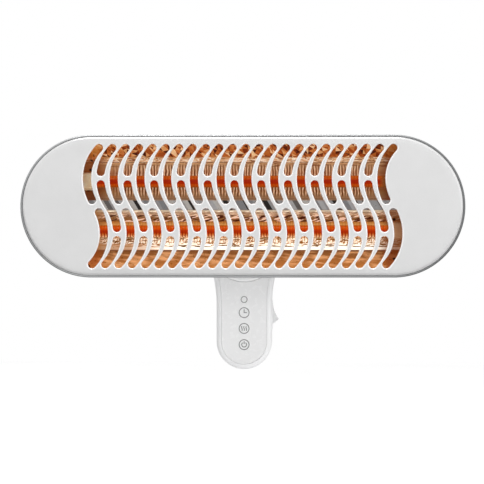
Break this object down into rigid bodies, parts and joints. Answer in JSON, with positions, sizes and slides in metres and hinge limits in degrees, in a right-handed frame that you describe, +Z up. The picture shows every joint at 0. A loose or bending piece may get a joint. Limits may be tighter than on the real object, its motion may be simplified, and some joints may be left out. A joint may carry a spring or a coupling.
{
  "type": "wall-mounted electric bar heater",
  "caption": "Wall heater with quartz heating bars behind a wavy slotted grille, in a lying capsule head that tilts down on a friction hinge over a slim control column with a rocker switch.",
  "frame": {"origin": "middle of the wall plate's round top, on its back face, where the heater meets the wall", "axes": "+Z up, -Y out of the wall towards the room, +X to the right as seen from the room"},
  "size_m": [0.4456, 0.118, 0.2379],
  "materials": {
    "grille_enamel": "satin silver-white enamel",
    "ring_metal": "satin anodised",
    "housing_metal": "satin powder coat",
    "reflector_metal": "polished, warm tinted",
    "quartz_glass": "polished, lit by the winding",
    "heating_wire": "glowing",
    "ceramic": "matte",
    "wire_sleeve": "woven glass sleeve",
    "cable_sheath": "matte",
    "screw_steel": "zinc plated",
    "plate_steel": "galvanised",
    "cast_metal": "cast, satin coat",
    "brass": "plain",
    "white_plastic": "fine moulded",
    "rocker_plastic": "smooth",
    "panel_plastic": "smooth",
    "lens_plastic": "translucent",
    "circuit_board": "solder resist",
    "dark_plastic": "moulded"
  },
  "bodies": {
    "wall_base": {"wall_plate": "plate_steel", "lock_screw": "screw_steel", "column_rear_shell": "white_plastic", "column_front_shell": "white_plastic", "shell_screw_1": "screw_steel", "shell_screw_2": "screw_steel", "control_panel": "panel_plastic", "indicator_lens": "lens_plastic", "touch_pad_timer": "brass", "touch_pad_level": "brass", "touch_pad_power": "brass", "control_board": "circuit_board", "power_board": "circuit_board", "relay_1": "dark_plastic", "relay_2": "dark_plastic", "transformer": "screw_steel", "mains_terminal": "white_plastic", "rocker_housing": "white_plastic", "cord_gland": "dark_plastic", "column_cable": "cable_sheath", "hinge_cradle": "cast_metal", "cradle_screw_1": "screw_steel", "cradle_screw_2": "screw_steel", "tilt_pivot_left": "screw_steel", "tilt_pivot_right": "screw_steel", "friction_washer_left": "brass", "friction_washer_right": "brass"},
    "head": {"front_panel": "grille_enamel", "trim_ring": "ring_metal", "rear_housing": "housing_metal", "housing_screw_1": "screw_steel", "housing_screw_2": "screw_steel", "housing_screw_3": "screw_steel", "housing_screw_4": "screw_steel", "reflector": "reflector_metal", "reflector_end_left": "reflector_metal", "reflector_end_right": "reflector_metal", "reflector_screw_left": "screw_steel", "reflector_screw_right": "screw_steel", "quartz_tube_upper": "quartz_glass", "quartz_tube_lower": "quartz_glass", "heating_coil_upper": "heating_wire", "heating_coil_lower": "heating_wire", "ceramic_cap_upper_left": "ceramic", "ceramic_cap_upper_right": "ceramic", "ceramic_cap_lower_left": "ceramic", "ceramic_cap_lower_right": "ceramic", "lead_wire_upper_left": "wire_sleeve", "lead_wire_upper_right": "wire_sleeve", "lead_wire_lower_left": "wire_sleeve", "lead_wire_lower_right": "wire_sleeve", "terminal_block": "white_plastic", "thermal_cutout": "dark_plastic", "hinge_knuckle": "cast_metal", "hinge_backing_plate": "screw_steel", "knuckle_screw_1": "screw_steel", "knuckle_screw_2": "screw_steel", "head_cable": "cable_sheath"},
    "rocker": {"rocker_button": "rocker_plastic"}
  },
  "joints": [
    {"name": "head_tilt", "type": "hinge", "parent": "wall_base", "child": "head", "pos_m": [0, -0.054, -0.0192], "axis": [1, 0, 0], "range_deg": [0, 40]},
    {"name": "rocker_switch", "type": "hinge", "parent": "wall_base", "child": "rocker", "pos_m": [0.0218, -0.022, -0.0908], "axis": [0, 1, 0], "range_deg": [0, 40]}
  ]
}
